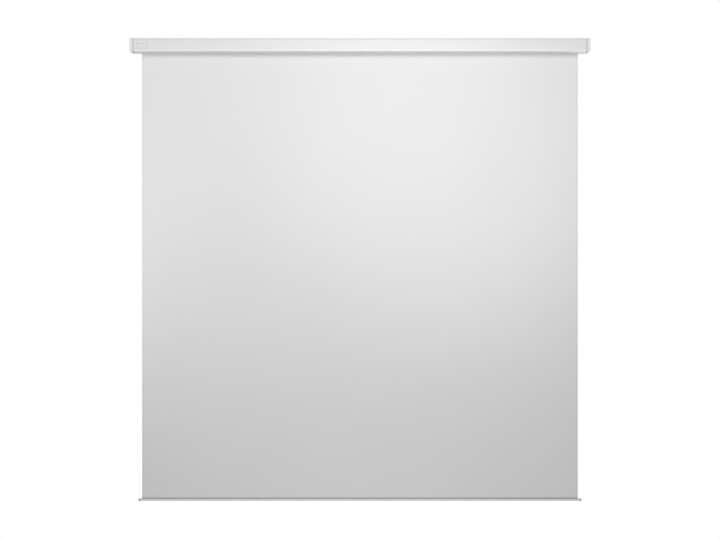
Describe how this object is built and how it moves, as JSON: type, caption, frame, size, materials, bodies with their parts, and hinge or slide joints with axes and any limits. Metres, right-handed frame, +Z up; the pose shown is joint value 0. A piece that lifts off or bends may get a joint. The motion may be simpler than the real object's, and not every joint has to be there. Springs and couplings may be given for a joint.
{
  "type": "motorised projector screen",
  "caption": "Wall-hung roller projection screen: white box casing with end caps, tubular motor and roller inside, white fabric with a weighted rod that winds up into the casing.",
  "frame": {"origin": "on the wall: the middle of the casing's flat back face, level with the roller's axis", "axes": "+X to the viewer's right along the casing, +Y into the wall, +Z up; the projection side faces -Y"},
  "size_m": [2.095, 0.0629, 2.1154],
  "materials": {
    "case_paint": "white powder coat, satin",
    "plate_plastic": "smooth moulded, white",
    "cap_plastic": "fine moulded texture, white",
    "zinc_steel": "zinc plated",
    "motor_steel": "drawn steel tube, bright",
    "head_plastic": "moulded, black",
    "nylon": "natural nylon",
    "receiver_plastic": "moulded, white",
    "receiver_cover_plastic": "moulded, grey",
    "inlet_plastic": "moulded, black",
    "lead_jacket": "flexible jacket, pale grey",
    "rubber": "black rubber",
    "aluminium": "extruded, mill finish",
    "screen_fabric": "matt white coated projection cloth",
    "rod_steel": "zinc plated tube",
    "knob_plastic": "moulded, light grey",
    "screw_yellow": "moulded, yellow",
    "screw_white": "moulded, white"
  },
  "bodies": {
    "casing": {"case_shell": "case_paint", "front_cover_plate": "plate_plastic", "end_cap_left": "cap_plastic", "end_cap_right": "cap_plastic", "motor_bracket": "zinc_steel", "idler_bracket": "zinc_steel", "bracket_rivet_left_upper": "zinc_steel", "bracket_rivet_left_lower": "zinc_steel", "bracket_rivet_right_upper": "zinc_steel", "bracket_rivet_right_lower": "zinc_steel", "cap_screw_left_upper": "zinc_steel", "cap_screw_left_lower": "zinc_steel", "cap_screw_right_upper": "zinc_steel", "cap_screw_right_lower": "zinc_steel", "motor_head": "head_plastic", "motor_body": "motor_steel", "motor_clip": "zinc_steel", "idler_pin": "zinc_steel", "idler_spacer": "nylon", "idler_clip": "zinc_steel", "receiver_box": "receiver_plastic", "receiver_cover": "receiver_cover_plastic", "motor_lead": "lead_jacket", "supply_lead": "lead_jacket", "inlet_body": "inlet_plastic", "inlet_pin_upper": "zinc_steel", "inlet_pin_lower": "zinc_steel", "lead_grommet": "rubber"},
    "roller": {"roller_tube": "aluminium", "limit_crown": "head_plastic", "drive_wheel": "head_plastic", "output_shaft": "zinc_steel", "idler_plug": "head_plastic", "idler_bush": "nylon", "fabric_edge_cord": "nylon", "wound_fabric": "screen_fabric"},
    "rod": {"screen_fabric": "screen_fabric", "hem_pocket": "screen_fabric", "weight_rod": "rod_steel", "rod_knob_left": "knob_plastic", "rod_knob_right": "knob_plastic"},
    "limit_screw_up": {"limit_screw_up": "screw_yellow"},
    "limit_screw_down": {"limit_screw_down": "screw_white"}
  },
  "joints": [
    {"name": "screen_travel", "type": "slide", "parent": "casing", "child": "rod", "axis": [0, 0, 1], "range_m": [0, 2.0508], "deforming": ["screen_fabric"]},
    {"name": "roller_spin", "type": "hinge", "parent": "casing", "child": "roller", "pos_m": [0, -0.03441, 0], "axis": [1, 0, 0], "range_deg": [0, 5206]},
    {"name": "limit_screw_up_turn", "type": "hinge", "parent": "casing", "child": "limit_screw_up", "pos_m": [-1.01495, -0.0237, -0.01371], "axis": [0, 0.6157, -0.788], "continuous": true},
    {"name": "limit_screw_down_turn", "type": "hinge", "parent": "casing", "child": "limit_screw_down", "pos_m": [-1.01015, -0.02678, -0.01564], "axis": [0, 0.4384, -0.8988], "continuous": true}
  ],
  "couplings": [
    {"joint": "roller_spin", "follows": "screen_travel", "rad_per_m": 44.3}
  ]
}
